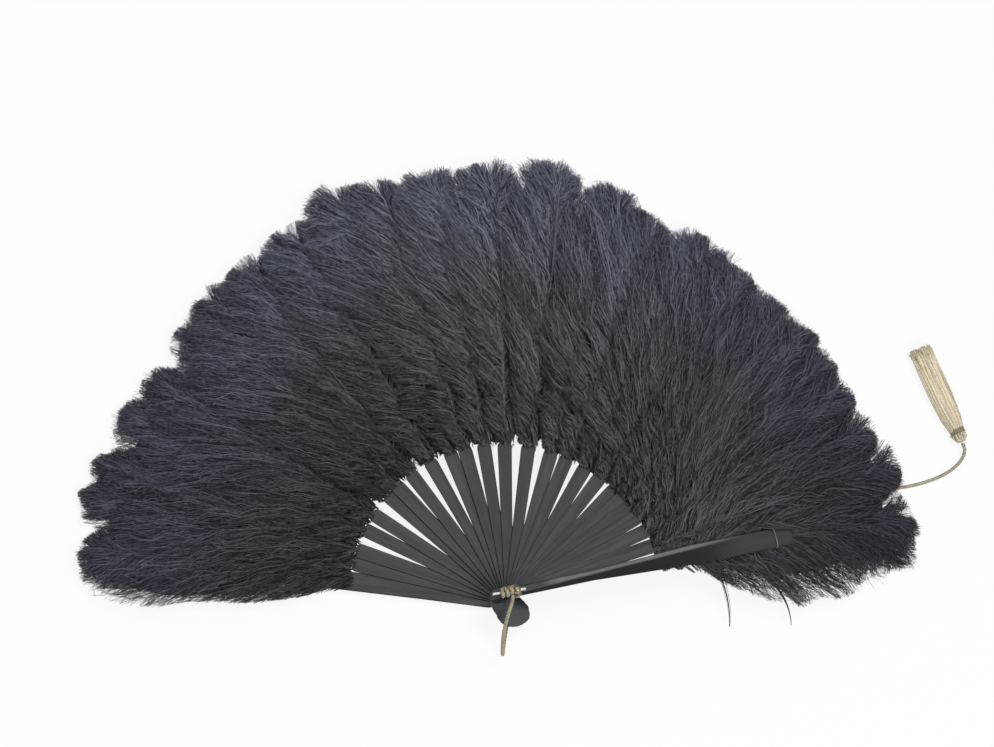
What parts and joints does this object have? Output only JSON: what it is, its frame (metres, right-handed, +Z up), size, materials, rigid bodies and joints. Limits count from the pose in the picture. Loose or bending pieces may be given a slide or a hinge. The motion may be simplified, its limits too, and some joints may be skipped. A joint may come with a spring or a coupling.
{
  "type": "folding feather fan",
  "caption": "Folding hand fan of dark ostrich plumes on ebonised wooden sticks that turn on one rivet, with a gold cord and tassel.",
  "frame": {"origin": "on the rivet's axis, at the flat underside of the rivet's button, which rests on the table", "axes": "+Z up along the rivet's axis, +Y up the middle of the open fan, +X towards the front guard"},
  "size_m": [0.7327, 0.4039, 0.0493],
  "materials": {
    "ebonised_wood": "ebonised, rubbed to a dull sheen",
    "plumage": "black ostrich plumes, soft and matt with a faint sheen along the barbs",
    "silver": "worn silver plate",
    "brass": "old polished brass",
    "gilt_cord": "twisted pale gold thread"
  },
  "bodies": {
    "back_leaf": {"back_guard": "ebonised_wood", "back_guard_plume": "plumage", "rivet_pin": "brass", "rivet_washer": "brass", "cord_eye": "brass", "toggle_bar": "silver", "cord_hitch": "gilt_cord", "cord": "gilt_cord", "tassel_knot": "gilt_cord", "tassel_binding": "gilt_cord", "tassel_skirt": "gilt_cord"},
    "leaf_01": {"stick_01": "ebonised_wood", "plume_01": "plumage"},
    "leaf_02": {"stick_02": "ebonised_wood", "plume_02": "plumage"},
    "leaf_03": {"stick_03": "ebonised_wood", "plume_03": "plumage"},
    "leaf_04": {"stick_04": "ebonised_wood", "plume_04": "plumage"},
    "leaf_05": {"stick_05": "ebonised_wood", "plume_05": "plumage"},
    "leaf_06": {"stick_06": "ebonised_wood", "plume_06": "plumage"},
    "leaf_07": {"stick_07": "ebonised_wood", "plume_07": "plumage"},
    "leaf_08": {"stick_08": "ebonised_wood", "plume_08": "plumage"},
    "leaf_09": {"stick_09": "ebonised_wood", "plume_09": "plumage"},
    "leaf_10": {"stick_10": "ebonised_wood", "plume_10": "plumage"},
    "leaf_11": {"stick_11": "ebonised_wood", "plume_11": "plumage"},
    "leaf_12": {"stick_12": "ebonised_wood", "plume_12": "plumage"},
    "leaf_13": {"stick_13": "ebonised_wood", "plume_13": "plumage"},
    "leaf_14": {"stick_14": "ebonised_wood", "plume_14": "plumage"},
    "leaf_15": {"stick_15": "ebonised_wood", "plume_15": "plumage"},
    "leaf_16": {"stick_16": "ebonised_wood", "plume_16": "plumage"},
    "leaf_17": {"stick_17": "ebonised_wood", "plume_17": "plumage"},
    "leaf_18": {"stick_18": "ebonised_wood", "plume_18": "plumage"},
    "leaf_19": {"stick_19": "ebonised_wood", "plume_19": "plumage"},
    "leaf_20": {"stick_20": "ebonised_wood", "plume_20": "plumage"},
    "leaf_21": {"stick_21": "ebonised_wood", "plume_21": "plumage"},
    "leaf_22": {"stick_22": "ebonised_wood", "plume_22": "plumage"},
    "leaf_23": {"stick_23": "ebonised_wood", "plume_23": "plumage"},
    "front_leaf": {"front_guard": "ebonised_wood", "front_guard_plume": "plumage"}
  },
  "joints": [
    {"name": "fan_fold", "type": "hinge", "parent": "back_leaf", "child": "front_leaf", "pos_m": [0, 0, 0], "axis": [0, 0, 1], "range_deg": [0, 161.4], "deforming": ["back_guard_plume", "plume_01", "plume_02", "plume_03", "plume_04", "plume_05", "plume_06", "plume_07", "plume_08", "plume_09", "plume_10", "plume_11", "plume_12", "plume_13", "plume_14", "plume_15", "plume_16", "plume_17", "plume_18", "plume_19", "plume_20", "plume_21", "plume_22", "plume_23", "front_guard_plume"]},
    {"name": "leaf_01_fold", "type": "hinge", "parent": "back_leaf", "child": "leaf_01", "pos_m": [0, 0, 0], "axis": [0, 0, 1], "range_deg": [0, 6.4]},
    {"name": "leaf_02_fold", "type": "hinge", "parent": "back_leaf", "child": "leaf_02", "pos_m": [0, 0, 0], "axis": [0, 0, 1], "range_deg": [0, 11.6]},
    {"name": "leaf_03_fold", "type": "hinge", "parent": "back_leaf", "child": "leaf_03", "pos_m": [0, 0, 0], "axis": [0, 0, 1], "range_deg": [0, 19.6]},
    {"name": "leaf_04_fold", "type": "hinge", "parent": "back_leaf", "child": "leaf_04", "pos_m": [0, 0, 0], "axis": [0, 0, 1], "range_deg": [0, 26.1]},
    {"name": "leaf_05_fold", "type": "hinge", "parent": "back_leaf", "child": "leaf_05", "pos_m": [0, 0, 0], "axis": [0, 0, 1], "range_deg": [0, 35]},
    {"name": "leaf_06_fold", "type": "hinge", "parent": "back_leaf", "child": "leaf_06", "pos_m": [0, 0, 0], "axis": [0, 0, 1], "range_deg": [0, 40]},
    {"name": "leaf_07_fold", "type": "hinge", "parent": "back_leaf", "child": "leaf_07", "pos_m": [0, 0, 0], "axis": [0, 0, 1], "range_deg": [0, 46.9]},
    {"name": "leaf_08_fold", "type": "hinge", "parent": "back_leaf", "child": "leaf_08", "pos_m": [0, 0, 0], "axis": [0, 0, 1], "range_deg": [0, 55.5]},
    {"name": "leaf_09_fold", "type": "hinge", "parent": "back_leaf", "child": "leaf_09", "pos_m": [0, 0, 0], "axis": [0, 0, 1], "range_deg": [0, 63.8]},
    {"name": "leaf_10_fold", "type": "hinge", "parent": "back_leaf", "child": "leaf_10", "pos_m": [0, 0, 0], "axis": [0, 0, 1], "range_deg": [0, 69.4]},
    {"name": "leaf_11_fold", "type": "hinge", "parent": "back_leaf", "child": "leaf_11", "pos_m": [0, 0, 0], "axis": [0, 0, 1], "range_deg": [0, 76.8]},
    {"name": "leaf_12_fold", "type": "hinge", "parent": "back_leaf", "child": "leaf_12", "pos_m": [0, 0, 0], "axis": [0, 0, 1], "range_deg": [0, 84.6]},
    {"name": "leaf_13_fold", "type": "hinge", "parent": "back_leaf", "child": "leaf_13", "pos_m": [0, 0, 0], "axis": [0, 0, 1], "range_deg": [0, 93.6]},
    {"name": "leaf_14_fold", "type": "hinge", "parent": "back_leaf", "child": "leaf_14", "pos_m": [0, 0, 0], "axis": [0, 0, 1], "range_deg": [0, 102.3]},
    {"name": "leaf_15_fold", "type": "hinge", "parent": "back_leaf", "child": "leaf_15", "pos_m": [0, 0, 0], "axis": [0, 0, 1], "range_deg": [0, 108.4]},
    {"name": "leaf_16_fold", "type": "hinge", "parent": "back_leaf", "child": "leaf_16", "pos_m": [0, 0, 0], "axis": [0, 0, 1], "range_deg": [0, 116.1]},
    {"name": "leaf_17_fold", "type": "hinge", "parent": "back_leaf", "child": "leaf_17", "pos_m": [0, 0, 0], "axis": [0, 0, 1], "range_deg": [0, 122.6]},
    {"name": "leaf_18_fold", "type": "hinge", "parent": "back_leaf", "child": "leaf_18", "pos_m": [0, 0, 0], "axis": [0, 0, 1], "range_deg": [0, 129.5]},
    {"name": "leaf_19_fold", "type": "hinge", "parent": "back_leaf", "child": "leaf_19", "pos_m": [0, 0, 0], "axis": [0, 0, 1], "range_deg": [0, 133.9]},
    {"name": "leaf_20_fold", "type": "hinge", "parent": "back_leaf", "child": "leaf_20", "pos_m": [0, 0, 0], "axis": [0, 0, 1], "range_deg": [0, 138.3]},
    {"name": "leaf_21_fold", "type": "hinge", "parent": "back_leaf", "child": "leaf_21", "pos_m": [0, 0, 0], "axis": [0, 0, 1], "range_deg": [0, 142.8]},
    {"name": "leaf_22_fold", "type": "hinge", "parent": "back_leaf", "child": "leaf_22", "pos_m": [0, 0, 0], "axis": [0, 0, 1], "range_deg": [0, 148.8]},
    {"name": "leaf_23_fold", "type": "hinge", "parent": "back_leaf", "child": "leaf_23", "pos_m": [0, 0, 0], "axis": [0, 0, 1], "range_deg": [0, 154.9]}
  ],
  "couplings": [
    {"joint": "leaf_01_fold", "follows": "fan_fold", "ratio": 0.039653},
    {"joint": "leaf_02_fold", "follows": "fan_fold", "ratio": 0.071871},
    {"joint": "leaf_03_fold", "follows": "fan_fold", "ratio": 0.12144},
    {"joint": "leaf_04_fold", "follows": "fan_fold", "ratio": 0.16171},
    {"joint": "leaf_05_fold", "follows": "fan_fold", "ratio": 0.21685},
    {"joint": "leaf_06_fold", "follows": "fan_fold", "ratio": 0.24783},
    {"joint": "leaf_07_fold", "follows": "fan_fold", "ratio": 0.29058},
    {"joint": "leaf_08_fold", "follows": "fan_fold", "ratio": 0.34387},
    {"joint": "leaf_09_fold", "follows": "fan_fold", "ratio": 0.39529},
    {"joint": "leaf_10_fold", "follows": "fan_fold", "ratio": 0.42999},
    {"joint": "leaf_11_fold", "follows": "fan_fold", "ratio": 0.47584},
    {"joint": "leaf_12_fold", "follows": "fan_fold", "ratio": 0.52416},
    {"joint": "leaf_13_fold", "follows": "fan_fold", "ratio": 0.57993},
    {"joint": "leaf_14_fold", "follows": "fan_fold", "ratio": 0.63383},
    {"joint": "leaf_15_fold", "follows": "fan_fold", "ratio": 0.67162},
    {"joint": "leaf_16_fold", "follows": "fan_fold", "ratio": 0.71933},
    {"joint": "leaf_17_fold", "follows": "fan_fold", "ratio": 0.7596},
    {"joint": "leaf_18_fold", "follows": "fan_fold", "ratio": 0.80235},
    {"joint": "leaf_19_fold", "follows": "fan_fold", "ratio": 0.82961},
    {"joint": "leaf_20_fold", "follows": "fan_fold", "ratio": 0.85688},
    {"joint": "leaf_21_fold", "follows": "fan_fold", "ratio": 0.88476},
    {"joint": "leaf_22_fold", "follows": "fan_fold", "ratio": 0.92193},
    {"joint": "leaf_23_fold", "follows": "fan_fold", "ratio": 0.95973}
  ]
}
